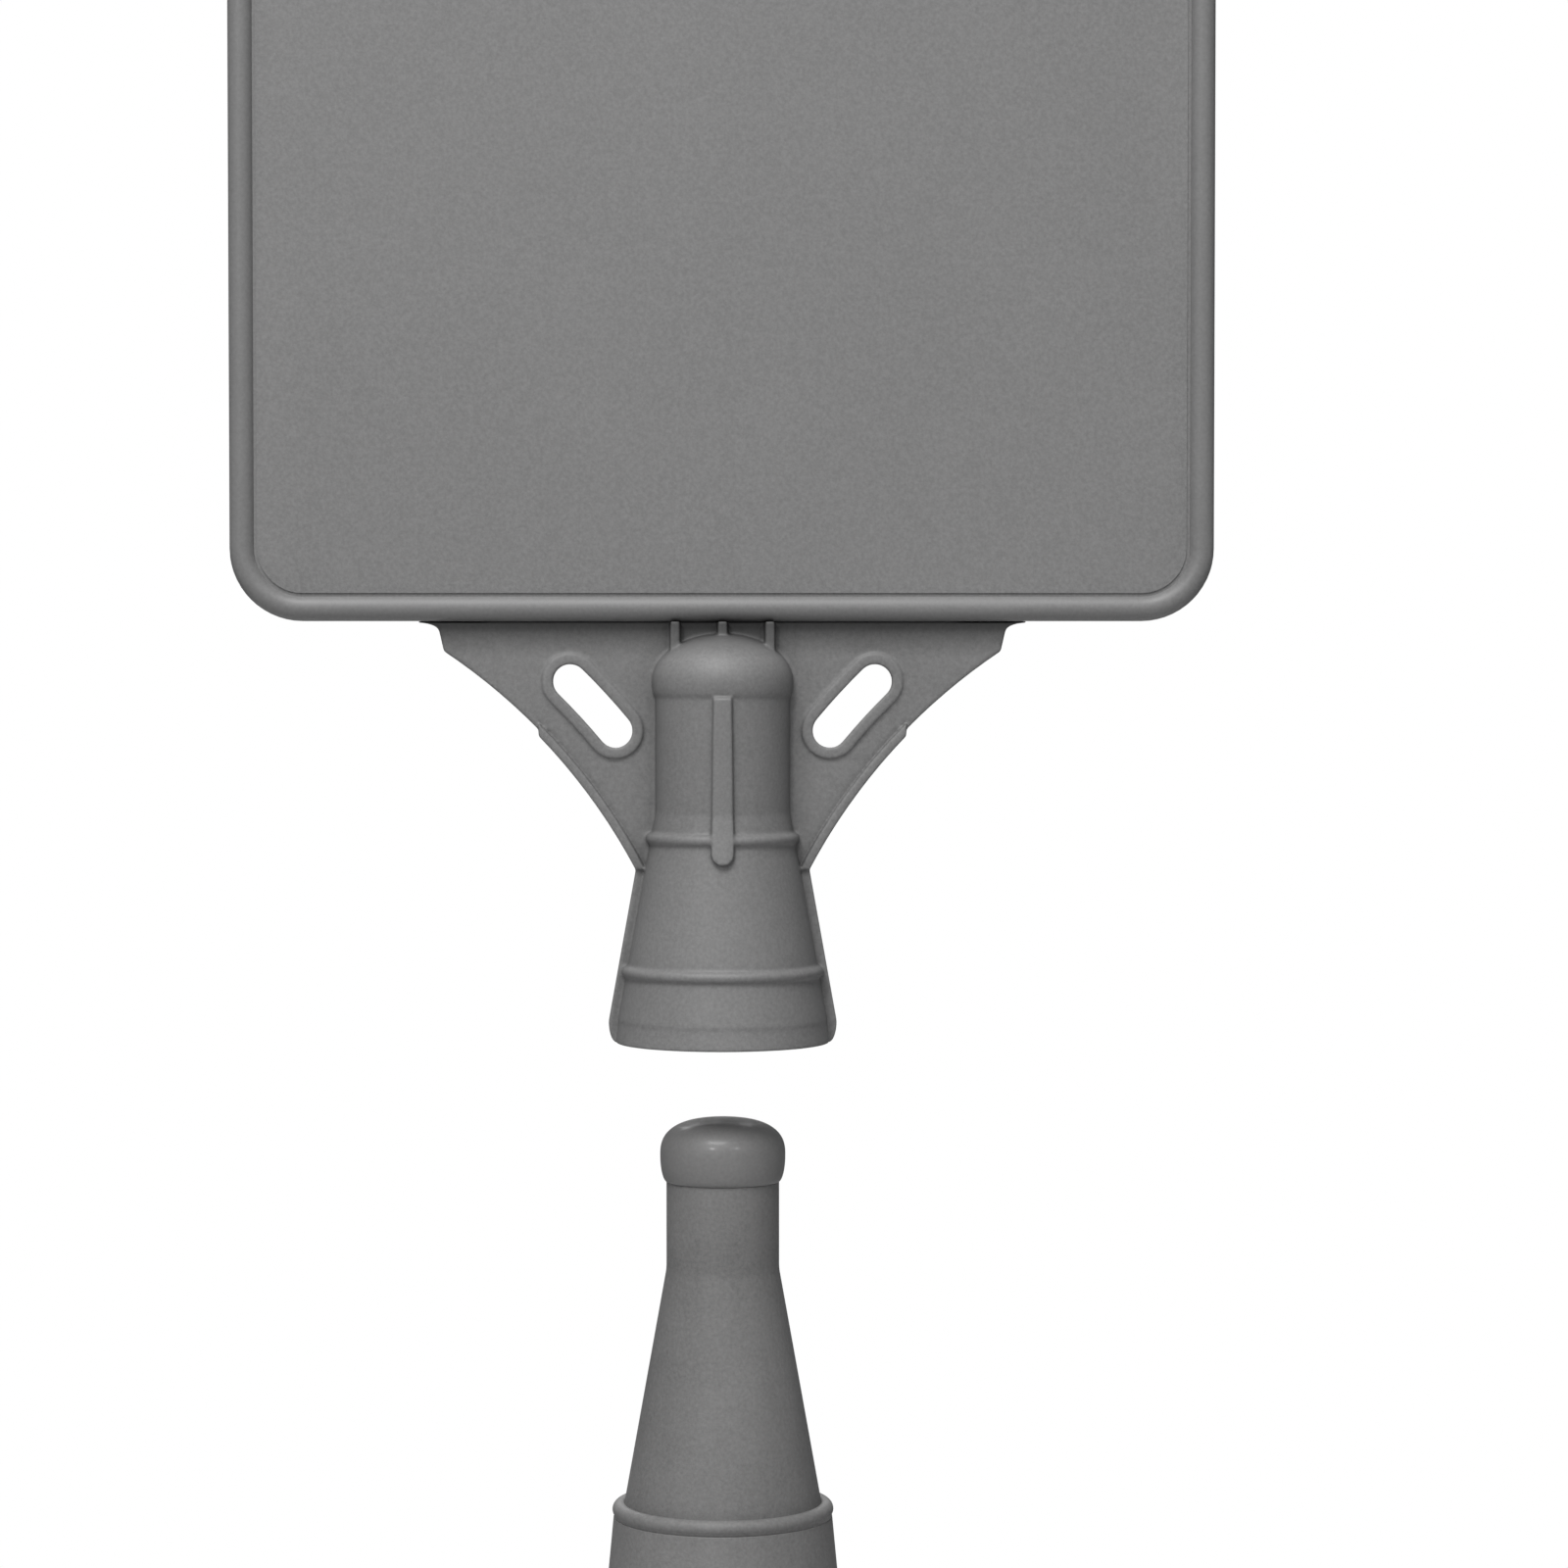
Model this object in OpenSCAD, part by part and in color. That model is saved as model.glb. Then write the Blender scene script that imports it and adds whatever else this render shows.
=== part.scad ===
// Signpost with a lift-off sign.
// A hollow tapered post stands in a heavy rubber base. A sign board on a slotted
// bracket ends in a round socket, which drops over the post's knob, neck and cone
// until its mouth rests on the stop ring.
// Millimetres. Origin: middle of the base's underside, on the floor. +Z up, sign faces -Y.

/* [Post] */
// Height of the post, floor to the top of its knob
post_h = 900; // [760:5:1080]
// Widest radius of the knob on top
knob_r = 32; // [27:0.5:38.5]
// Height of the knob, crease to crown
knob_h = 32.5; // [27:0.5:39]
// Radius of the straight neck
neck_r = 28.8; // [24:0.2:31]
// Length of the straight neck
neck_h = 44.5; // [37:0.5:53.5]
// Length of the cone between the neck and the stop ring
cone_h = 119.7; // [100:0.1:143.7]
// Radius of the cone where it meets the stop ring
cone_r = 50.3; // [44:0.1:60.4]
// Radius of the lower body at the height of the floor
foot_r = 122; // [102:1:146]
// Wall of the post's mouldings
post_wall = 3; // [2.5:0.1:3.6]

/* [Sign board] */
// Width of the board over its rim
board_w = 500; // [417:1:600]
// Height of the board over its rim
board_h = 375; // [313:1:450]
// Outer radius of the board's corners
corner_r = 37; // [30:1:45]
// Thickness of the flat panel
panel_t = 12; // [10:0.5:14]
// Width of the round rim bead
bead_w = 13; // [11:0.5:15.5]
// How far the rim stands out in front of the panel
bead_proud = 3.5; // [2.5:0.1:4.5]

/* [Bracket and socket] */
// Thickness of the bracket plate
web_t = 5; // [4:0.5:6]
// Half width of the bracket under the board
web_half = 144; // [120:1:173]
// Radius of the lips along the bracket's hollow lower edges
lip_curve_r = 300; // [250:1:360]
// Width of the slots in the bracket
slot_w = 17.5; // [14.5:0.5:21]
// Wall of the socket
socket_wall = 1.9; // [1.6:0.1:2.3]
// How far the sign is lifted off its seat in the stored pose
rest_lift = 235; // [196:1:282]

/* [Base] */
// Side of the square rubber base
base_w = 420; // [380:5:504]
// Thickness of the rubber slab, without its feet
slab_h = 45; // [38:1:54]
// Radius of the round foot pads
pad_r = 17; // [14:0.5:20.5]

/* [Hidden] */
$fn = 96;

// Gaps
fit_gap = 0.1;          // between pieces of one body that slot together
run_gap = 0.4;          // between the knob and the socket's bore, which slides over it
seat_gap = 0.3;         // left under the socket's mouth when the sign is down
turn_gap = 1.2;         // between the post and the hole in the base
eps = 0.01;

// Levels on the post, from the floor
ring_top_z = post_h - knob_h - neck_h - cone_h;
ring_bead = 4;        // radius of the stop ring's section
shoulder_z = ring_top_z - 2 * ring_bead + 0.3;
body_top_r = cone_r + 5.7;
ring_c = body_top_r + 0.6 - ring_bead;
cone_slope = (cone_r - neck_r) / cone_h;
body_slope = (foot_r - body_top_r) / shoulder_z;
function body_r(z) = foot_r - body_slope * z;
body_wall = post_wall + 1;
foot_top_z = 0.43 * shoulder_z;

// Knob
knob_fullness = 2.6;            // 2 makes its crown an ellipse, more makes it squarer
knob_last_a = 85;               // the crown is flat inside this point of its curve
crown_wall = 2.2 * post_wall;
knob_wide_h = 0.42 * knob_h;    // height of its widest point above the crease
knob_crease_r = neck_r - 0.3;
plug_h = 24;

// Spigot of the upper moulding inside the lower one
spigot_h = 42;

// Base levels
pad_h = 6;
slab_top_z = pad_h + slab_h;
slab_chamfer = 14;
corner_cut = 46;
collar_h = 13;
collar_w = 27;
collar_r = body_r(slab_top_z) + turn_gap + collar_w;
flange_t = 6;
flange_w = 28;
clamp_t = 5;
clamp_lap = 17;         // how far the clamp ring reaches out past the flange
washer_t = 2;
clamp_z = pad_h + 2;
flange_z = clamp_z + clamp_t + seat_gap;
washer_z = flange_z + flange_t + seat_gap;
flange_r = body_r(flange_z) + flange_w;
clamp_r = flange_r + 1 + clamp_lap;
screw_count = 8;
screw_r = 2.5;
screw_head_r = 5;
screw_head_h = 3;
screw_h = 22;
screw_circle_r = flange_r + 1 + clamp_lap / 2;
pad_edge = base_w / 2 - 32;     // from the middle to the pads along each side
pad_side = 0.58 * pad_edge;     // from a side's middle to its two pads

// Socket, heights counted from its mouth
bore_r = knob_r + run_gap;
socket_r = bore_r + socket_wall;
skirt_gap = 3.2;        // between the post's cone and the skirt's inside
hem_h = 11;
hem_step = 0.5;         // the skirt overhangs its hem by this much
hem_in_r = cone_r + 0.9;
hem_out_r = ring_c + 2;
skirt_top_h = (cone_r + skirt_gap - bore_r) / cone_slope;
dome_foot_h = cone_h + neck_h + 12.3;
dome_wide_h = dome_foot_h + 8;
dome_bulge = 1.7;
dome_top_h = cone_h + neck_h + knob_h + 9.9 + socket_wall;
function skirt_r(h) = cone_r + skirt_gap + socket_wall - cone_slope * h;
upper_ring_h = skirt_top_h - 13;
upper_bead = 3;
lower_ring_h = 36.5;
lower_bead = 3;
bead_sunk = 0.4;        // how far a bead's centre lies inside the wall's surface
rib_proud = 3.3;
rib_top_w = 9.5;
rib_foot_w = 11.4;
rib_foot_h = upper_ring_h - 6.5;
tie_w = 5;
tie_pitch = 24;
tie_depth = 7;

// Bracket outline, heights counted from the socket's mouth
bracket_h = dome_top_h + 6.5;
edge_w = 4.8;           // parting flange outside the skirt
edge_corner_w = 4.2;
edge_corner_h = 11;
waist_h = skirt_top_h - 29;
waist_x = skirt_r(waist_h) + edge_w;
curve_end = [web_half - 6, bracket_h - 20.5];
end_taper = 3.5;        // how much the bracket narrows from its top corner to the hollow edge
top_fillet_w = 11;
top_fillet_h = 4.5;
fillet_tip = 0.8;       // thickness of the fillet's outer end
lip_out = 2.2;          // from the web's hollow edge out to the lip's edge
lip_w = 4.6;
lip_groove_w = 1.2;     // the groove along the lip's inner side
lip_groove_depth = 0.7;
lip_h = 2;
lip_end_x = 0.65 * web_half;
slot_inset = 28.7;      // slot's centre line, in from the hollow edge
slot_run = 34;          // between the centres of a slot's round ends
slot_border_w = 5.5;
slot_border_h = 1.5;
tongue_half = 0.83 * web_half;
tongue_h = 24;
tongue_screws = 4;
tongue_screw_r = 2;
tongue_head_r = 4.2;
tongue_head_h = 2.5;

// Centre of a circle of radius r through p and q, on the right of the line from p to q
function arc_centre(p, q, r) =
    let (mid = (p + q) / 2, way = (q - p) / norm(q - p), back = norm(q - p) / 2)
    mid + [way[1], -way[0]] * sqrt(r * r - back * back);
curve_c = arc_centre([waist_x, waist_h], curve_end, lip_curve_r);
web_curve_r = lip_curve_r + lip_out;
function bearing(p) = atan2(p[1] - curve_c[1], p[0] - curve_c[0]);
slot_arc_r = web_curve_r + slot_inset;
slot_mid = bearing([skirt_r(0) + 10.5, bracket_h - 43]);
slot_half_turn = slot_run / 2 / slot_arc_r * 180 / PI;

// Board
rim_wall = 4;           // rim outside the panel's edge
bead_r = bead_w / 2;
rim_half = panel_t / 2 + bead_proud;
field_step = 0.6;       // the panel's field stands this far above the ledge under the rim
groove_w = 1.2;         // between the rim's foot and the field
sign_z = ring_top_z + seat_gap + rest_lift;
board_z = sign_z + bracket_h;

// ---------- shared shapes ----------

// A ring round Z: its section is given as [radius, height] points.
module turned(points) {
    rotate_extrude() polygon(points);
}

// A ring-shaped bar with a rectangular section.
module flat_ring(inner, outer, z, h) {
    translate([0, 0, z]) difference() {
        cylinder(r = outer, h = h);
        translate([0, 0, -eps]) cylinder(r = inner, h = h + 2 * eps);
    }
}

// Copies of the children on a circle round Z.
module round_copies(count, radius, start = 0) {
    for (i = [0 : count - 1])
        rotate([0, 0, start + i * 360 / count]) translate([radius, 0, 0]) children();
}

// An upright plate centred on the XZ plane, drawn in [x, height].
module upright(thick) {
    rotate([90, 0, 0]) linear_extrude(height = thick, center = true) children();
}

module left_and_right() {
    children();
    mirror([1, 0, 0]) children();
}

// The half space in front of (side = -1) or behind (side = 1) the bracket plate.
module beyond_plate(side, reach = 200) {
    translate([-reach, side > 0 ? web_t / 2 : -web_t / 2 - reach, -reach])
        cube([2 * reach, reach, 3 * reach]);
}

// ---------- base ----------

module slab_outline() {
    half = base_w / 2;
    cut = half - corner_cut;
    polygon([
        [half, -cut], [half, cut], [cut, half], [-cut, half],
        [-half, cut], [-half, -cut], [-cut, -half], [cut, -half]
    ]);
}

// Cuts the sloping shoulder along one side of the slab, whose edge is edge_at from Z.
module slab_shoulder(edge_at) {
    translate([edge_at, 0, slab_top_z - slab_chamfer]) rotate([0, -35, 0])
        translate([0, -base_w, 0]) cube([4 * slab_chamfer, 2 * base_w, 8 * slab_chamfer]);
}

// Two pads along each side, clear of the clamp ring.
module pad_places() {
    for (a = [0 : 90 : 270], y = [-pad_side, pad_side])
        rotate([0, 0, a]) translate([pad_edge, y, 0]) children();
}

module base_slab() {
    color("dimgray") difference() {
        union() {
            difference() {
                translate([0, 0, pad_h]) linear_extrude(height = slab_h) slab_outline();
                for (a = [0 : 90 : 270]) rotate([0, 0, a]) slab_shoulder(base_w / 2);
                for (a = [45 : 90 : 315])
                    rotate([0, 0, a]) slab_shoulder((base_w - corner_cut) / sqrt(2));
            }
            turned([
                [body_r(slab_top_z), slab_top_z - 5], [collar_r + 5, slab_top_z - 5],
                [collar_r, slab_top_z], [collar_r - 5, slab_top_z + collar_h - 4],
                [collar_r - 10, slab_top_z + collar_h], [body_r(slab_top_z), slab_top_z + collar_h]
            ]);
        }
        turned([
            [0, 0], [body_r(0) + turn_gap, 0],
            [body_r(slab_top_z + collar_h) + turn_gap, slab_top_z + collar_h + eps],
            [0, slab_top_z + collar_h + eps]
        ]);
        cylinder(r = flange_r + 1, h = washer_z + washer_t);
        cylinder(r = clamp_r + fit_gap, h = clamp_z + clamp_t);
        round_copies(screw_count, screw_circle_r)
            cylinder(r = screw_r + fit_gap, h = clamp_z + screw_h + 1);
        pad_places() cylinder(r = pad_r / 2 + fit_gap, h = pad_h + 8);
    }
}

module foot_pads() {
    color("black") pad_places() {
        cylinder(r = pad_r, h = pad_h);
        cylinder(r = pad_r / 2, h = pad_h + 7.5);
    }
}

module wear_washer() {
    color("ivory") flat_ring(body_r(washer_z) + turn_gap, flange_r, washer_z, washer_t);
}

module clamp_ring() {
    color("silver") difference() {
        flat_ring(body_r(0), clamp_r, clamp_z, clamp_t);
        round_copies(screw_count, screw_circle_r)
            cylinder(r = screw_r + fit_gap, h = clamp_z + clamp_t + 1);
    }
}

module clamp_screws() {
    color("gray") round_copies(screw_count, screw_circle_r) {
        translate([0, 0, clamp_z - screw_head_h]) cylinder(r = screw_head_r, h = screw_head_h);
        translate([0, 0, clamp_z - eps]) cylinder(r = screw_r, h = screw_h + eps);
    }
}

// ---------- post ----------

// The lower body is one moulding, cut across into three plain rings: its foot flange, foot and top.
module lower_body_ring(low, high) {
    color("gray") turned([
        [body_r(low) - body_wall, low], [body_r(low), low],
        [body_r(high), high], [body_r(high) - body_wall, high]
    ]);
}

module post_flange() {
    top = flange_z + flange_t;
    color("gray") turned([
        [body_r(flange_z) - body_wall, flange_z], [flange_r, flange_z],
        [flange_r, top], [body_r(top) - body_wall, top]
    ]);
}

module post_foot() {
    lower_body_ring(flange_z + flange_t, foot_top_z);
}

module post_lower() {
    lower_body_ring(foot_top_z, shoulder_z);
}

module stop_ring() {
    color("gray") rotate_extrude() difference() {
        translate([ring_c, ring_top_z - ring_bead]) circle(r = ring_bead);
        translate([0, shoulder_z - 2 * ring_bead]) square([2 * cone_r, 2 * ring_bead]);
        square([body_top_r - body_wall, post_h]);
    }
}

module post_upper() {
    spigot_r = body_top_r - body_wall - fit_gap;
    spigot_foot_r = spigot_r + body_slope * spigot_h;
    neck_foot_z = ring_top_z + cone_h;
    neck_top_z = neck_foot_z + neck_h;
    color("gray") turned([
        [spigot_foot_r - post_wall, shoulder_z - spigot_h], [spigot_foot_r, shoulder_z - spigot_h],
        [spigot_r, shoulder_z], [cone_r, ring_top_z], [neck_r, neck_foot_z], [neck_r, neck_top_z],
        [neck_r - post_wall, neck_top_z], [neck_r - post_wall, neck_foot_z],
        [cone_r - post_wall, ring_top_z], [spigot_r - post_wall, shoulder_z]
    ]);
}

// Outer curve of the knob from its crease up to the shallow crown, as [radius, height].
function knob_curve() = concat(
    [for (a = [-90 : 10 : 0])
        [knob_crease_r + (knob_r - knob_crease_r) * cos(a), knob_wide_h * (1 + sin(a))]],
    [for (a = [5 : 5 : knob_last_a])
        [knob_r * pow(cos(a), 2 / knob_fullness),
         knob_wide_h + (knob_h - knob_wide_h) * pow(sin(a) / sin(knob_last_a), 2 / knob_fullness)]]
);

module post_knob() {
    plug_r = neck_r - post_wall - fit_gap;
    color("gray") translate([0, 0, post_h - knob_h]) difference() {
        union() {
            turned(concat([[0, 0]], knob_curve(), [[0, knob_h]]));
            translate([0, 0, -plug_h]) cylinder(r = plug_r, h = plug_h + eps);
        }
        translate([0, 0, -plug_h - eps]) cylinder(r = plug_r - post_wall, h = plug_h + knob_h - crown_wall);
    }
}

// ---------- socket ----------

// The socket's outside, grown by grow, with its mouth at height 0.
function socket_outline(grow = 0) = concat(
    [[0, 0], [hem_out_r + grow, 0], [skirt_r(hem_h) - hem_step + grow, hem_h],
     [skirt_r(hem_h + hem_step) + grow, hem_h + hem_step],
     [socket_r + grow, skirt_top_h], [socket_r + grow, dome_foot_h]],
    [for (a = [-90 : 15 : 0])
        [socket_r + dome_bulge * cos(a) + grow, dome_wide_h + (dome_wide_h - dome_foot_h) * sin(a)]],
    [for (a = [7.5 : 7.5 : 90])
        [(socket_r + dome_bulge + grow) * cos(a),
         dome_wide_h + (dome_top_h + grow - dome_wide_h) * sin(a)]]
);

// The hollow inside the socket, from just below its mouth.
function socket_hollow() = concat(
    [[0, -1], [hem_in_r, -1], [hem_in_r, hem_h * 0.6],
     [skirt_r(hem_h) - socket_wall, hem_h], [bore_r, skirt_top_h], [bore_r, dome_foot_h]],
    [for (a = [0 : 7.5 : 90])
        [(bore_r + dome_bulge) * cos(a),
         dome_wide_h + (dome_top_h - socket_wall - dome_wide_h) * sin(a)]]
);

module front_rib(side) {
    shape = [
        [-rib_foot_w / 2, rib_foot_h], [rib_foot_w / 2, rib_foot_h],
        [rib_top_w / 2, dome_foot_h], [-rib_top_w / 2, dome_foot_h]
    ];
    intersection() {
        turned(socket_outline(rib_proud));
        translate([0, side * 50, 0]) upright(80) union() {
            polygon(shape);
            translate([0, rib_foot_h]) circle(r = rib_foot_w / 2);
        }
    }
}

// Three short ribs tie the dome to the underside of the rim.
module dome_ties(side) {
    for (x = [-1, 0, 1])
        translate([x * tie_pitch - tie_w / 2, side > 0 ? 0 : -web_t / 2 - tie_depth, dome_wide_h])
            cube([tie_w, web_t / 2 + tie_depth, bracket_h - fit_gap - dome_wide_h]);
}

module socket_half(side) {
    translate([0, 0, sign_z]) intersection() {
        beyond_plate(side);
        difference() {
            union() {
                turned(socket_outline());
                rotate_extrude() {
                    translate([socket_r + (skirt_top_h - upper_ring_h) * cone_slope - bead_sunk,
                        upper_ring_h]) circle(r = upper_bead);
                    translate([skirt_r(lower_ring_h) - bead_sunk, lower_ring_h]) circle(r = lower_bead);
                }
                front_rib(side);
                dome_ties(side);
            }
            turned(socket_hollow());
        }
    }
}

module socket_front() {
    color("slategray") socket_half(-1);
}

module socket_rear() {
    color("slategray") socket_half(1);
}

// ---------- bracket ----------

module bracket_outline_half() {
    corner_x = skirt_r(edge_corner_h) + edge_w - edge_corner_w;
    // flange down the skirt, with its rounded foot
    polygon(concat(
        [[0, waist_h], [0, 0]],
        [for (a = [-90 : 15 : 0])
            [corner_x + edge_corner_w * cos(a), edge_corner_h * (1 + sin(a))]],
        [[waist_x, waist_h]]
    ));
    // web above the waist, whose ends slope in, and the fillet under the rim, which ends as a blunt edge
    fillet_foot_h = bracket_h - fillet_tip - top_fillet_h;
    difference() {
        polygon(concat(
            [[0, waist_h - eps], [web_half - end_taper, waist_h - eps],
             [web_half - end_taper, curve_end[1]]],
            [for (a = [180 : -15 : 90])
                [web_half + top_fillet_w * (1 + cos(a)), fillet_foot_h + top_fillet_h * sin(a)]],
            [[web_half + top_fillet_w, bracket_h], [0, bracket_h]]
        ));
        translate(curve_c) circle(r = web_curve_r);
    }
}

// One bean-shaped slot, concentric with the bracket's hollow edge.
module slot_shape(width) {
    far = 2 * slot_arc_r;
    first = slot_mid - slot_half_turn;
    last = slot_mid + slot_half_turn;
    translate(curve_c) {
        intersection() {
            difference() {
                circle(r = slot_arc_r + width / 2);
                circle(r = slot_arc_r - width / 2);
            }
            polygon([[0, 0], far * [cos(first), sin(first)], far * [cos(last), sin(last)]]);
        }
        for (a = [first, last]) translate(slot_arc_r * [cos(a), sin(a)]) circle(r = width / 2);
    }
}

// A band along the hollow edge, from the waist up, between two distances in from the lip's edge.
module edge_band(from, to) {
    difference() {
        intersection() {
            translate([0, waist_h]) square([lip_end_x, bracket_h - waist_h]);
            translate(curve_c) circle(r = lip_curve_r + to);
        }
        translate(curve_c) circle(r = lip_curve_r + from);
        polygon(socket_outline(fit_gap));
    }
}

// The plate's outline with its tongue, open where the socket is hollow.
module plate_outline() {
    difference() {
        union() {
            left_and_right() bracket_outline_half();
            translate([-tongue_half, bracket_h - eps]) square([2 * tongue_half, tongue_h]);
        }
        left_and_right() polygon(socket_hollow());
    }
}

module bracket_plate() {
    color("darkgray") translate([0, 0, sign_z]) difference() {
        union() {
            upright(web_t - 2 * lip_groove_depth) plate_outline();
            upright(web_t) difference() {
                plate_outline();
                left_and_right() edge_band(lip_w - 2 * fit_gap, lip_w + lip_groove_w);
            }
            upright(web_t + 2 * lip_h) left_and_right() edge_band(0, lip_w);
            upright(web_t + 2 * slot_border_h) left_and_right() slot_shape(slot_w + 2 * slot_border_w);
        }
        upright(3 * web_t) left_and_right() slot_shape(slot_w);
        translate([0, 0, bracket_h]) tongue_screw_places()
            rotate([90, 0, 0]) cylinder(r = tongue_screw_r + fit_gap, h = 3 * web_t, center = true);
    }
}

module tongue_screw_places() {
    pitch = 2 * (tongue_half - 20) / (tongue_screws - 1);
    for (i = [0 : tongue_screws - 1])
        translate([i * pitch - tongue_half + 20, 0, (rim_wall + tongue_h) / 2 + 3]) children();
}

module bracket_screws() {
    tip_y = -panel_t / 2 + 2;
    color("gray") translate([0, 0, board_z]) tongue_screw_places() {
        translate([0, panel_t / 2 - tongue_head_h, 0])
            rotate([-90, 0, 0]) cylinder(r = tongue_head_r, h = tongue_head_h);
        translate([0, tip_y, 0])
            rotate([-90, 0, 0]) cylinder(r = tongue_screw_r, h = panel_t / 2 - tip_y - tongue_head_h + eps);
    }
}

// ---------- board ----------

// A rectangle with round corners, standing on height 0 and centred on x = 0.
module rounded_board(w, h, r) {
    translate([-w / 2 + r, 0]) square([w - 2 * r, h]);
    translate([-w / 2, r]) square([w, h - 2 * r]);
    for (x = [r - w / 2, w / 2 - r], z = [r, h - r]) translate([x, z]) circle(r = r);
}

// The board less inset all round, as a plate of the given thickness.
module board_plate(inset, thick) {
    translate([0, 0, inset]) upright(thick)
        rounded_board(board_w - 2 * inset, board_h - 2 * inset, corner_r - inset);
}

module sign_panel() {
    color("gainsboro") translate([0, 0, board_z]) difference() {
        union() {
            board_plate(rim_wall + fit_gap, panel_t - 2 * field_step);
            board_plate(bead_w + groove_w, panel_t);
        }
        translate([-tongue_half - fit_gap, -web_t / 2 - fit_gap, 0])
            cube([2 * (tongue_half + fit_gap), web_t + 2 * fit_gap, tongue_h + fit_gap]);
        tongue_screw_places() {
            translate([0, panel_t / 2 - tongue_head_h - fit_gap, 0])
                rotate([-90, 0, 0]) cylinder(r = tongue_head_r + fit_gap, h = panel_t);
            translate([0, -panel_t / 2 + 2 - fit_gap, 0])
                rotate([-90, 0, 0]) cylinder(r = tongue_screw_r + fit_gap, h = panel_t);
        }
    }
}

// Half of the rim's section: x runs inward from the board's edge, y from the middle plane out.
module rim_section() {
    difference() {
        union() {
            square([bead_w, rim_half - bead_r]);
            translate([bead_r, rim_half - bead_r]) circle(r = bead_r);
        }
        translate([-bead_w, -bead_w]) square([3 * bead_w, bead_w]);
        translate([rim_wall, -bead_w]) square([bead_w, bead_w + panel_t / 2 - field_step + fit_gap]);
    }
}

// One straight run of the rim, along +X, with the board's edge on the X axis.
module rim_bar(length) {
    rotate([90, 0, 90]) linear_extrude(height = length, center = true) rim_section();
}

module rim_corner() {
    rotate_extrude(angle = 90) translate([corner_r, 0]) mirror([1, 0]) rim_section();
}

// The whole half rim lying flat: x across the board, y up it, z out of its face.
module rim_ring() {
    x = board_w / 2 - corner_r;
    y = board_h / 2 - corner_r;
    for (turn = [0, 180]) rotate([0, 0, turn]) {
        translate([0, -board_h / 2, 0]) rim_bar(2 * x);
        translate([board_w / 2, 0, 0]) rotate([0, 0, 90]) rim_bar(2 * y);
        translate([x, y, 0]) rim_corner();
        translate([x, -y, 0]) rotate([0, 0, -90]) rim_corner();
    }
}

module rim_half(side) {
    color("darkgray") translate([0, 0, board_z]) difference() {
        translate([0, 0, board_h / 2]) rotate([side < 0 ? 90 : -90, 0, 0]) rim_ring();
        translate([-tongue_half - fit_gap, -web_t / 2 - fit_gap, -eps])
            cube([2 * (tongue_half + fit_gap), web_t + 2 * fit_gap, 2 * rim_wall]);
    }
}

module rim_front() {
    rim_half(-1);
}

module rim_rear() {
    rim_half(1);
}

base_slab();
foot_pads();
wear_washer();
clamp_ring();
clamp_screws();
post_flange();
post_foot();
post_lower();
stop_ring();
post_upper();
post_knob();
socket_front();
socket_rear();
bracket_plate();
bracket_screws();
sign_panel();
rim_front();
rim_rear();
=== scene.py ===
"""Looks of a road-cone post with its lift-off sign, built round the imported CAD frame. Metres, +Z up."""

import math

import bpy
import bmesh
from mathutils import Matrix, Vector

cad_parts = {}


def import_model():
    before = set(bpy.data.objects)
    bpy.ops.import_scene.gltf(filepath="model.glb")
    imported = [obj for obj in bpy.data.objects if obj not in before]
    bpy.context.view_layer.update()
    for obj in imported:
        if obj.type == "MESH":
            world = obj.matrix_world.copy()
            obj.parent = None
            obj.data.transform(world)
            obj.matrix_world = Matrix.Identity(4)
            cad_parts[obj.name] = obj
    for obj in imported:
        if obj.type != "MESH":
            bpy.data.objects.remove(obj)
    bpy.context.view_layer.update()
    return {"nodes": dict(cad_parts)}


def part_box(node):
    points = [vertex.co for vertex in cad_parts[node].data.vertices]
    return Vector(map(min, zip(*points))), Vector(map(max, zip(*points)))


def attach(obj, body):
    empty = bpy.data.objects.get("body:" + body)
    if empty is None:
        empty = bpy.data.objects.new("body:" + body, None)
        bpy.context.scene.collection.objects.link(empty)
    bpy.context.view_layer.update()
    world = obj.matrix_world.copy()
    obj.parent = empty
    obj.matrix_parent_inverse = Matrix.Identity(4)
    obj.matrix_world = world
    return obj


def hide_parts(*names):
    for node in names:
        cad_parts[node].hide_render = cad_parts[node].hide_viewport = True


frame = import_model()
nodes = frame["nodes"]
MM = 0.001
SAME_HEIGHT = 0.1 * MM      # heights closer than this count as one edge
SAME_RADIUS = 0.05 * MM     # and radii closer than this as one

# ---------------------------------------------------------------- the frame's own sizes


def radius_at(node, z, pick=max):
    """A turned CAD node's outer radius at the height z of one of its edges, or its inner one with min."""
    return pick(math.hypot(v.co.x, v.co.y) for v in nodes[node].data.vertices
                if abs(v.co.z - z) < SAME_HEIGHT)


upper_lo, upper_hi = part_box("post_upper")
flange_lo, flange_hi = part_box("post_flange")
lower_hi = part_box("post_lower")[1]
ring_lo, ring_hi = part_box("stop_ring")
knob_lo, knob_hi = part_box("post_knob")
rim_foot_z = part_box("rim_front")[0].z

# ---------------------------------------------------------------- materials


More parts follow.
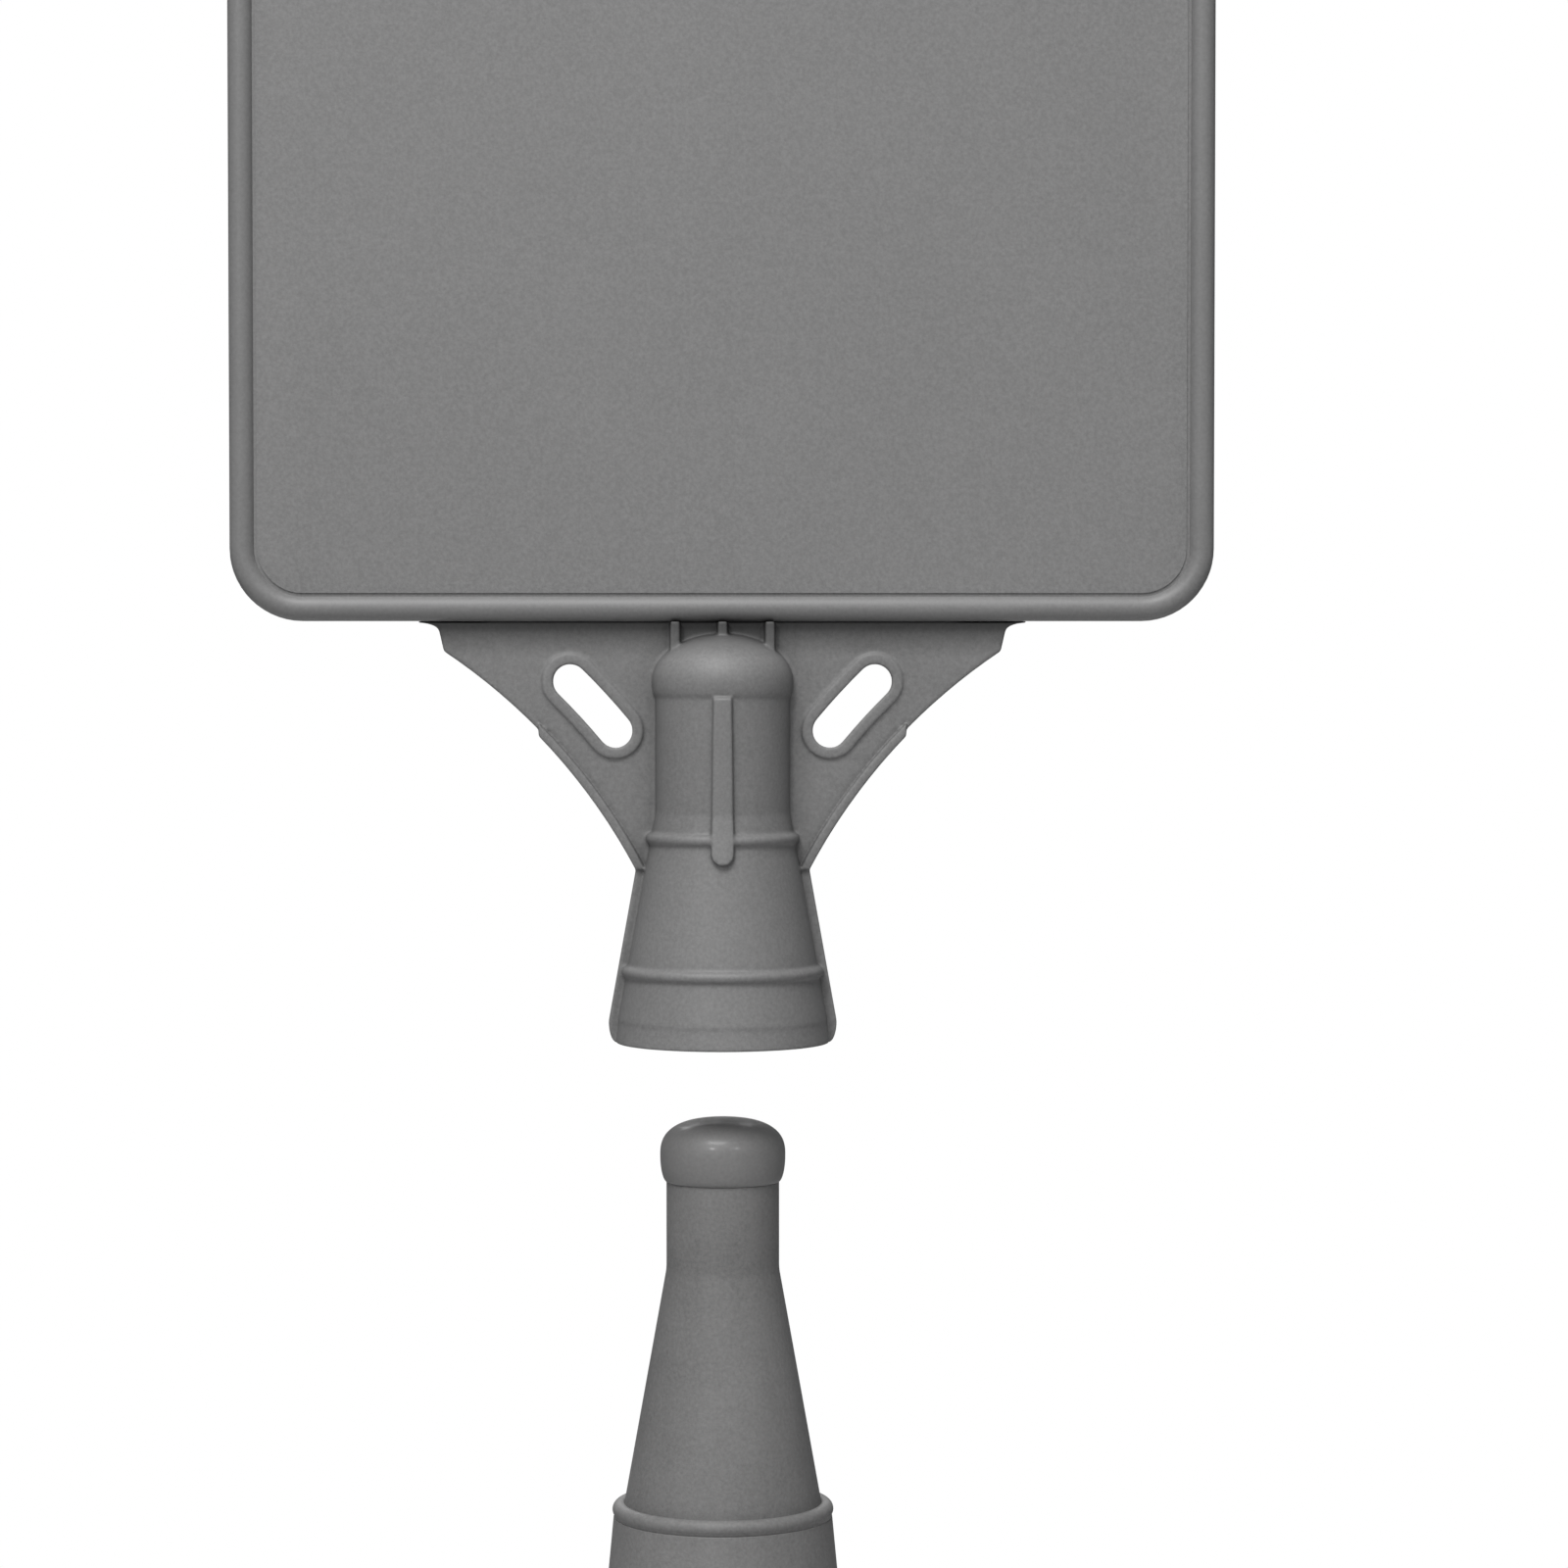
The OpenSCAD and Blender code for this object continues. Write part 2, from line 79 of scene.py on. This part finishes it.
class Nodes:
    """Short calls for building one material's node tree."""

    def __init__(self, name):
        self.material = bpy.data.materials.new(name)
        self.material.use_nodes = True
        self.tree = self.material.node_tree
        self.tree.nodes.clear()
        self.out = self.add("ShaderNodeOutputMaterial")
        self.shader = self.add("ShaderNodeBsdfPrincipled")
        self.link(self.shader.outputs[0], self.out.inputs["Surface"])
        self.place = self.add("ShaderNodeTexCoord").outputs["Object"]

    def add(self, kind, **settings):
        node = self.tree.nodes.new(kind)
        for key, value in settings.items():
            setattr(node, key, value)
        return node

    def link(self, a, b):
        self.tree.links.new(a, b)

    def noise(self, per_metre, detail=2.0, roughness=0.5, stretch=(1, 1, 1)):
        """Noise of about per_metre features to the metre, as a 0 to 1 value."""
        mapping = self.add("ShaderNodeMapping")
        mapping.inputs["Scale"].default_value = stretch
        self.link(self.place, mapping.inputs["Vector"])
        noise = self.add("ShaderNodeTexNoise")
        noise.inputs["Scale"].default_value = per_metre
        noise.inputs["Detail"].default_value = detail
        noise.inputs["Roughness"].default_value = roughness
        self.link(mapping.outputs[0], noise.inputs["Vector"])
        return noise.outputs["Fac"]

    def math(self, operation, a, b):
        node = self.add("ShaderNodeMath", operation=operation)
        for socket, value in zip(node.inputs, (a, b)):
            if isinstance(value, (int, float)):
                socket.default_value = value
            else:
                self.link(value, socket)
        return node.outputs[0]

    def spread(self, value, low, high, to_low, to_high):
        """value between low and high, mapped to to_low and to_high."""
        node = self.add("ShaderNodeMapRange")
        for socket, number in zip(list(node.inputs)[1:5], (low, high, to_low, to_high)):
            socket.default_value = number
        self.link(value, node.inputs["Value"])
        return node.outputs[0]

    def tinted(self, colour, gain):
        """colour times gain, a value about 1."""
        mix = self.add("ShaderNodeVectorMath", operation="SCALE")
        mix.inputs[0].default_value = colour
        self.link(gain, mix.inputs["Scale"])
        self.link(mix.outputs[0], self.shader.inputs["Base Color"])

    def bump(self, height, distance, strength=1.0, after=None):
        node = self.add("ShaderNodeBump")
        node.inputs["Strength"].default_value = strength
        node.inputs["Distance"].default_value = distance
        self.link(height, node.inputs["Height"])
        if after is not None:
            self.link(after, node.inputs["Normal"])
        return node.outputs[0]


PAINTED_SHADE_DEPTH = 0.72                # painted shade: how much the colour is darkened right under an overhang, where its shadow falls
PAINTED_SHADE_REACH = 19 * MM       # and how far down that painted shade fades out


def grey(value, warm=0.0):
    return (value * (1 + warm), value, value * (1 - warm))


def moulded_plastic(name, tone, rough=0.6, grain=0.09, mottle=0.10, speckle=0.08, warm=0.004, streaks=0.0,
                    crease_shade=0.35, crease_shade_reach=9 * MM, coat=0.0, painted_shade_under=None):
    """Plastic with a fine sand grain, slow mottling, faint flow streaks and scuffed edges, darker in concave
    hollows, with painted shade in its creases and recesses.

    painted_shade_under is the height of an overhang's foot; below it the colour is darkened as painted shade
    of the overhang.
    """
    n = Nodes(name)
    fine = n.noise(560, detail=3.0, roughness=0.68)
    coarse = n.noise(260, detail=2.0)
    slow = n.noise(16, detail=3.0, roughness=0.55)
    blotch = n.noise(5.5, detail=1.0)
    gain = n.math("ADD", n.spread(slow, 0.3, 0.7, 1 - mottle / 2, 1 + mottle / 2),
                  n.spread(fine, 0.3, 0.7, -speckle / 2, speckle / 2))
    gain = n.math("ADD", gain, n.spread(blotch, 0.3, 0.7, -mottle / 4, mottle / 4))
    if streaks:
        flow = n.noise(120, detail=2.0, stretch=(1, 1, 0.06))
        gain = n.math("ADD", gain, n.spread(flow, 0.35, 0.65, -streaks, streaks))
    # scuffs make convex edges paler; concave hollows come out darker
    edge = n.add("ShaderNodeNewGeometry").outputs["Pointiness"]
    gain = n.math("ADD", gain, n.spread(edge, 0.44, 0.56, -0.10, 0.07))
    # painted shade: ambient occlusion darkens the colour in creases and recesses, where shade falls
    crease_shade_ao = n.add("ShaderNodeAmbientOcclusion", samples=6)
    crease_shade_ao.inputs["Distance"].default_value = crease_shade_reach
    gain = n.math("MULTIPLY", gain, n.spread(crease_shade_ao.outputs["AO"], 0.3, 0.95, 1 - crease_shade, 1.0))
    # painted shade: below the overhang's foot the colour is darkened, standing in for the overhang's shadow
    if painted_shade_under is not None:
        height = n.add("ShaderNodeSeparateXYZ")
        n.link(n.place, height.inputs[0])
        painted_shade_gain = n.spread(height.outputs["Z"], painted_shade_under - PAINTED_SHADE_REACH, painted_shade_under, 1.0, 1 - PAINTED_SHADE_DEPTH)
        gain = n.math("MULTIPLY", gain, painted_shade_gain)
    n.tinted(grey(tone, warm), gain)
    uneven = n.spread(n.math("ADD", slow, fine), 0.7, 1.3, rough - 0.07, rough + 0.07)
    n.link(uneven, n.shader.inputs["Roughness"])
    grained = n.bump(coarse, grain * 0.8 * MM, 0.7)
    n.link(n.bump(fine, grain * MM, 1.0, grained), n.shader.inputs["Normal"])
    n.shader.inputs["Specular IOR Level"].default_value = 0.42
    n.shader.inputs["Coat Weight"].default_value = coat
    n.shader.inputs["Coat Roughness"].default_value = 0.2
    return n.material


def rubber(name, tone):
    """Pitted black rubber, with pale dust in patches, and paler along its edges."""
    n = Nodes(name)
    fine = n.noise(600, detail=3.0, roughness=0.6)
    slow = n.noise(22, detail=4.0, roughness=0.6)
    dust = n.spread(slow, 0.42, 0.72, 0.0, 1.0)
    gain = n.math("ADD", n.spread(fine, 0.3, 0.7, 0.86, 1.14), n.math("MULTIPLY", dust, 0.75))
    edge = n.add("ShaderNodeNewGeometry").outputs["Pointiness"]
    gain = n.math("ADD", gain, n.spread(edge, 0.46, 0.58, -0.12, 0.45))
    n.tinted(grey(tone, 0.02), gain)
    n.link(n.spread(slow, 0.3, 0.7, 0.68, 0.86), n.shader.inputs["Roughness"])
    pitted = n.bump(n.noise(150, detail=2.0), 0.25 * MM, 0.6)
    n.link(n.bump(fine, 0.12 * MM, 1.0, pitted), n.shader.inputs["Normal"])
    n.shader.inputs["Specular IOR Level"].default_value = 0.35
    return n.material


def metal(name, tone, rough):
    """Bare metal with a soft spangle, as zinc has."""
    n = Nodes(name)
    spangle = n.noise(90, detail=3.0)
    fine = n.noise(1500, detail=2.0)
    n.tinted(grey(tone), n.spread(spangle, 0.3, 0.7, 0.85, 1.12))
    n.link(n.spread(spangle, 0.3, 0.7, rough - 0.08, rough + 0.1), n.shader.inputs["Roughness"])
    n.link(n.bump(fine, 0.03 * MM, 0.6), n.shader.inputs["Normal"])
    n.shader.inputs["Metallic"].default_value = 1.0
    return n.material


# the bracket carries the strongest painted shade: in its creases and recesses, and under the rim
BRACKET = moulded_plastic("bracket_plastic", 0.170, rough=0.55, grain=0.06, speckle=0.28, crease_shade=0.55,
                          crease_shade_reach=18 * MM, painted_shade_under=rim_foot_z)
RIM = moulded_plastic("rim_plastic", 0.170, rough=0.5, grain=0.05, mottle=0.05, speckle=0.18, crease_shade=0.05)
PANEL = moulded_plastic("panel_plastic", 0.168, rough=0.62, grain=0.10, mottle=0.04, speckle=0.30, crease_shade=0.03)
POST = moulded_plastic("post_plastic", 0.158, rough=0.62, grain=0.13, mottle=0.16, speckle=0.30, warm=0.008,
                       streaks=0.02, crease_shade=0.15)
KNOB = moulded_plastic("knob_plastic", 0.172, rough=0.55, grain=0.03, mottle=0.14, speckle=0.18, warm=0.008,
                       crease_shade=0.1, coat=0.18)
BASE = rubber("base_rubber", 0.035)
PADS = rubber("pad_rubber", 0.028)
WASHER = moulded_plastic("washer_plastic", 0.6, rough=0.4, grain=0.02)
STEEL = metal("galvanised_steel", 0.6, 0.42)
SCREW = metal("screw_steel", 0.62, 0.3)

# ---------------------------------------------------------------- mesh helpers

STRAIGHT = 0.02         # a corner that turns by less than this, in radians, gets no fillet
EDGE_SHARE = 0.48       # the most of an edge that one fillet takes
ON_AXIS = 1e-6          # a smaller radius is a point on the axis


def new_piece(name, mesh, material, body, replaced=()):
    piece = bpy.data.objects.new(name, mesh)
    bpy.context.scene.collection.objects.link(piece)
    piece.data.materials.clear()
    piece.data.materials.append(material)
    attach(piece, body)
    if replaced:
        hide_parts(*replaced)
    return piece


def rounded(corners, steps=7):
    """A closed outline through (r, z, fillet radius) corners, with each corner turned into an arc."""
    points = []
    count = len(corners)
    for i, (r, z, fillet) in enumerate(corners):
        here = Vector((r, z))
        back = Vector(corners[i - 1][:2]) - here
        on = Vector(corners[(i + 1) % count][:2]) - here
        turn = math.pi - back.angle(on) if back.length and on.length else 0
        if fillet <= 0 or turn < STRAIGHT:
            points.append(here)
            continue
        reach = min(fillet * math.tan(turn / 2), EDGE_SHARE * back.length, EDGE_SHARE * on.length)
        radius = reach / math.tan(turn / 2)
        middle = (back.normalized() + on.normalized()).normalized()
        centre = here + middle * (radius / math.cos(turn / 2))
        first = here + back.normalized() * reach - centre
        last = here + on.normalized() * reach - centre
        for k in range(steps + 1):
            t = k / steps
            way = (first.normalized() * math.sin((1 - t) * turn) + last.normalized() * math.sin(t * turn))
            points.append(centre + way.normalized() * radius)
    return points


def lathe(name, outline, segments=192):
    """A closed mesh: the (r, z) outline turned round Z. Points on the axis become one vertex."""
    mesh = bpy.data.meshes.new(name)
    bm = bmesh.new()
    rings = []
    for r, z in outline:
        if r < ON_AXIS:
            rings.append([bm.verts.new((0, 0, z))])
            continue
        turns = (2 * math.pi * k / segments for k in range(segments))
        rings.append([bm.verts.new((r * math.cos(a), r * math.sin(a), z)) for a in turns])
    for i, ring in enumerate(rings):
        after = rings[(i + 1) % len(rings)]
        if len(ring) == 1 and len(after) == 1:
            continue
        for k in range(segments):
            corners = []
            for v in (ring[k % len(ring)], ring[(k + 1) % len(ring)],
                      after[(k + 1) % len(after)], after[k % len(after)]):
                if v not in corners:
                    corners.append(v)
            bm.faces.new(corners)
    bmesh.ops.recalc_face_normals(bm, faces=bm.faces)
    for face in bm.faces:
        face.smooth = True
    bm.to_mesh(mesh)
    bm.free()
    return mesh


def smooth_shaded(piece, degrees=35):
    """Smooth shading, split where two faces meet at more than that angle."""
    for face in piece.data.polygons:
        face.use_smooth = True
    keep = piece.modifiers.new("sharp edges", "EDGE_SPLIT")
    keep.split_angle = math.radians(degrees)


def dress(node, material, bevel=0.0):
    """Gives a CAD node its finish, and rounds its sharp edges."""
    piece = nodes[node]
    piece.data.materials.clear()
    piece.data.materials.append(material)
    if bevel:
        soft = piece.modifiers.new("soft edges", "BEVEL")
        soft.width = bevel
        soft.segments = 3
        soft.limit_method = "ANGLE"
        soft.angle_limit = math.radians(38)
    smooth_shaded(piece)


# ---------------------------------------------------------------- post


def neck_foot_z():
    """Where the cone turns into the straight neck: the lowest edge that is as narrow as the top."""
    neck_r = radius_at("post_upper", upper_hi.z)
    return min(v.co.z for v in nodes["post_upper"].data.vertices
               if abs(math.hypot(v.co.x, v.co.y) - neck_r) < SAME_RADIUS)


def post_pieces():
    cone_foot = ring_hi.z
    heights = (upper_lo.z, lower_hi.z, cone_foot, neck_foot_z(), upper_hi.z)
    outer_fillets = (1 * MM, 4 * MM, 1 * MM, 30 * MM, 0.25 * MM)
    inner_fillets = (1 * MM, 4 * MM, 1 * MM, 25 * MM, 0.25 * MM)
    outside = [(radius_at("post_upper", z), z, f) for z, f in zip(heights, outer_fillets)]
    inside = [(radius_at("post_upper", z, min), z, f) for z, f in zip(heights, inner_fillets)]
    new_piece("post_upper_moulding", lathe("post_upper_moulding", rounded(outside + inside[::-1])),
              POST, "post", ["post_upper"])

    outline = [(radius_at("post_flange", flange_lo.z, min), flange_lo.z, 1 * MM),
               (flange_hi.x, flange_lo.z, 2 * MM),
               (flange_hi.x, flange_hi.z, 2 * MM),
               (radius_at("post_foot", flange_hi.z), flange_hi.z, 8 * MM),
               (radius_at("post_lower", lower_hi.z), lower_hi.z, 0.5 * MM),
               (radius_at("post_lower", lower_hi.z, min), lower_hi.z, 0.5 * MM)]
    new_piece("post_lower_body", lathe("post_lower_body", rounded(outline)),
              POST, "post", ["post_flange", "post_foot", "post_lower"])

    stop_ring_piece()
    knob_piece()


RING_CUT = 0.3 * MM     # the shoulder cuts this much off the underside of the ring's round section
RING_SINK = 0.2 * MM    # how far inside the shoulder's edge the bead's outer side comes down
RING_END = 108          # degrees from the bead's widest point, over its top, to where its round ends
RING_STEPS = 24
CONE_GAP = 0.15 * MM    # the closing point's distance from the cone
RING_TUCK = 0.4 * MM    # and how far below the bead's top it is


def stop_ring_piece():
    """The bead, which runs straight down into the lower body's shoulder and is closed behind on the cone."""
    bead = (ring_hi.z - ring_lo.z + RING_CUT) / 2
    centre_r, centre_z = ring_hi.x - bead, ring_hi.z - bead
    foot_r = radius_at("post_lower", lower_hi.z) - RING_SINK
    outline = [Vector((radius_at("stop_ring", ring_lo.z, min), ring_lo.z)), Vector((foot_r, ring_lo.z))]
    start = -math.acos((foot_r - centre_r) / bead)
    end = math.radians(RING_END)
    for k in range(RING_STEPS + 1):
        a = start + (end - start) * k / RING_STEPS
        outline.append(Vector((centre_r + bead * math.cos(a), centre_z + bead * math.sin(a))))
    outline.append(Vector((radius_at("post_upper", ring_hi.z) + CONE_GAP, ring_hi.z - RING_TUCK)))
    new_piece("stop_ring_bead", lathe("stop_ring_bead", outline), POST, "post", ["stop_ring"])


KNOB_WIDE = 0.42        # height of the widest point, as a share of the knob's height
KNOB_FULLNESS = 2.6     # 2 makes the crown an ellipse, more makes it squarer
KNOB_WALL = 3 * MM      # wall of the plug under the knob
KNOB_CREASE = 0.3 * MM  # depth of the crease between knob and neck
UNDERSIDE_STEPS = 12
CROWN_STEPS = 36


def knob_piece():
    """A squarish crown over a round underside, which ends in a crease on the neck, and a hollow plug."""
    foot, top = upper_hi.z, knob_hi.z
    wide_z = foot + KNOB_WIDE * (top - foot)
    crease_r = radius_at("post_upper", foot) - KNOB_CREASE
    plug_r = radius_at("post_knob", knob_lo.z)
    inside_r = plug_r - KNOB_WALL
    outline = [Vector((0, foot)), Vector((inside_r, foot)), Vector((inside_r, knob_lo.z)),
               Vector((plug_r, knob_lo.z)), Vector((plug_r, foot))]
    for k in range(UNDERSIDE_STEPS + 1):
        a = math.radians(-90 + 90 * k / UNDERSIDE_STEPS)
        outline.append(Vector((crease_r + (knob_hi.x - crease_r) * math.cos(a),
                               wide_z + (wide_z - foot) * math.sin(a))))
    for k in range(1, CROWN_STEPS):
        a = math.radians(90 * k / CROWN_STEPS)
        outline.append(Vector((knob_hi.x * math.cos(a) ** (2 / KNOB_FULLNESS),
                               wide_z + (top - wide_z) * math.sin(a) ** (2 / KNOB_FULLNESS))))
    outline.append(Vector((0, top)))
    new_piece("post_knob_cap", lathe("post_knob_cap", outline), KNOB, "post", ["post_knob"])


# ---------------------------------------------------------------- sign

VOXEL = 0.55 * MM       # edge of the voxels that weld the moulding
SOFTENING = 26          # smoothing passes over the welded mesh, which round its edges
KEPT_TRIANGLES = 0.14   # share of the welded mesh that is kept


def sign_moulding():
    """Bracket and both socket halves welded into one moulding, with soft fillets where they meet."""
    bm = bmesh.new()
    for name in ("bracket_plate", "socket_front", "socket_rear"):
        bm.from_mesh(nodes[name].data)
    mesh = bpy.data.meshes.new("bracket_and_socket")
    bm.to_mesh(mesh)
    bm.free()
    piece = new_piece("bracket_and_socket", mesh, BRACKET, "sign",
                      ["bracket_plate", "socket_front", "socket_rear"])
    weld = piece.modifiers.new("weld", "REMESH")
    weld.mode = "VOXEL"
    weld.voxel_size = VOXEL
    weld.use_smooth_shade = True
    soft = piece.modifiers.new("soften", "SMOOTH")
    soft.factor = 0.5
    soft.iterations = SOFTENING
    thin = piece.modifiers.new("thin", "DECIMATE")
    thin.ratio = KEPT_TRIANGLES


def sign_pieces():
    sign_moulding()
    for name in ("rim_front", "rim_rear"):
        dress(name, RIM)
    dress("sign_panel", PANEL, bevel=0.8 * MM)
    dress("bracket_screws", SCREW, bevel=0.4 * MM)


# ---------------------------------------------------------------- base


def base_pieces():
    dress("base_slab", BASE, bevel=4 * MM)
    dress("foot_pads", PADS, bevel=1 * MM)
    dress("wear_washer", WASHER)
    dress("clamp_ring", STEEL, bevel=0.6 * MM)
    dress("clamp_screws", SCREW, bevel=0.6 * MM)


# ---------------------------------------------------------------- stage, light, camera

EYE_DISTANCE = 2.25             # from the post's axis, measured level
EYE_HEIGHT = 1.15
LENS = 101.4                    # focal length in millimetres, as Blender counts it
SENSOR = 36.0                   # and the width of its sensor
AIM_RIGHT = 31.3 * MM           # how far right of the post's axis the camera aims
PITCH = math.radians(2.02)      # how far it looks down
FLOOR_RADIUS = 1.7
FLOOR_DROP = 0.2 * MM           # the floor lies this far under the pads, so that the two faces don't coincide


def stage():
    mesh = bpy.data.meshes.new("floor")
    bm = bmesh.new()
    bmesh.ops.create_circle(bm, cap_ends=True, segments=128, radius=FLOOR_RADIUS)
    bm.to_mesh(mesh)
    bm.free()
    floor = bpy.data.objects.new("floor", mesh)
    floor.location.z = -FLOOR_DROP
    bpy.context.scene.collection.objects.link(floor)
    n = Nodes("pale_floor")
    n.tinted(grey(0.6), n.spread(n.noise(3, detail=2.0), 0.3, 0.7, 0.985, 1.015))
    n.shader.inputs["Roughness"].default_value = 0.8
    floor.data.materials.append(n.material)


def world():
    scene = bpy.context.scene
    scene.world = bpy.data.worlds.new("studio")
    scene.world.use_nodes = True
    tree = scene.world.node_tree
    tree.nodes.clear()
    out = tree.nodes.new("ShaderNodeOutputWorld")
    seen = tree.nodes.new("ShaderNodeBackground")
    lit = tree.nodes.new("ShaderNodeBackground")
    mix = tree.nodes.new("ShaderNodeMixShader")
    seen.inputs["Color"].default_value = (1, 1, 1, 1)
    seen.inputs["Strength"].default_value = 1.0
    lit.inputs["Color"].default_value = (0.97, 0.98, 1.0, 1)
    lit.inputs["Strength"].default_value = 0.16
    path = tree.nodes.new("ShaderNodeLightPath")
    tree.links.new(path.outputs["Is Camera Ray"], mix.inputs[0])
    tree.links.new(lit.outputs[0], mix.inputs[1])
    tree.links.new(seen.outputs[0], mix.inputs[2])
    tree.links.new(mix.outputs[0], out.inputs["Surface"])
    scene.view_settings.view_transform = "Standard"


def softbox(name, place, aim, width, height, watts):
    data = bpy.data.lights.new(name, "AREA")
    data.shape = "RECTANGLE"
    data.size = width
    data.size_y = height
    data.energy = watts
    lamp = bpy.data.objects.new(name, data)
    lamp.location = place
    lamp.rotation_euler = (Vector(aim) - Vector(place)).to_track_quat("-Z", "Y").to_euler()
    bpy.context.scene.collection.objects.link(lamp)


SUBJECT = (0, 0, 1.0)


def front_place(turn, elevation, distance):
    """A place that far from the subject, turned that many degrees to the right of the camera and raised."""
    side, up = math.radians(turn), math.radians(elevation)
    return (distance * math.cos(up) * math.sin(side), -distance * math.cos(up) * math.cos(side),
            SUBJECT[2] + distance * math.sin(up))


def lights():
    """A large softbox high in front, one overhead, one behind, and two small lamps that glint on the knob."""
    softbox("key", front_place(-17, 58, 6.0), SUBJECT, 2.9, 2.3, 340)
    softbox("overhead", (0, 0, 5.0), SUBJECT, 2.4, 2.4, 26)
    softbox("front_left", front_place(-21, 27, 3.6), SUBJECT, 0.3, 0.3, 30)
    softbox("front_right", front_place(27, 27, 3.6), SUBJECT, 0.3, 0.3, 15)
    softbox("behind", (-0.3, 3.0, 3.5), SUBJECT, 2.0, 1.6, 70)


def camera():
    data = bpy.data.cameras.new("camera")
    data.sensor_width = SENSOR
    data.lens = LENS
    eye = bpy.data.objects.new("camera", data)
    eye.location = (0, -EYE_DISTANCE, EYE_HEIGHT)
    eye.rotation_euler = (math.pi / 2 - PITCH, 0, -math.atan(AIM_RIGHT / EYE_DISTANCE))
    bpy.context.scene.collection.objects.link(eye)
    bpy.context.scene.camera = eye


post_pieces()
sign_pieces()
base_pieces()
stage()
world()
lights()
camera()
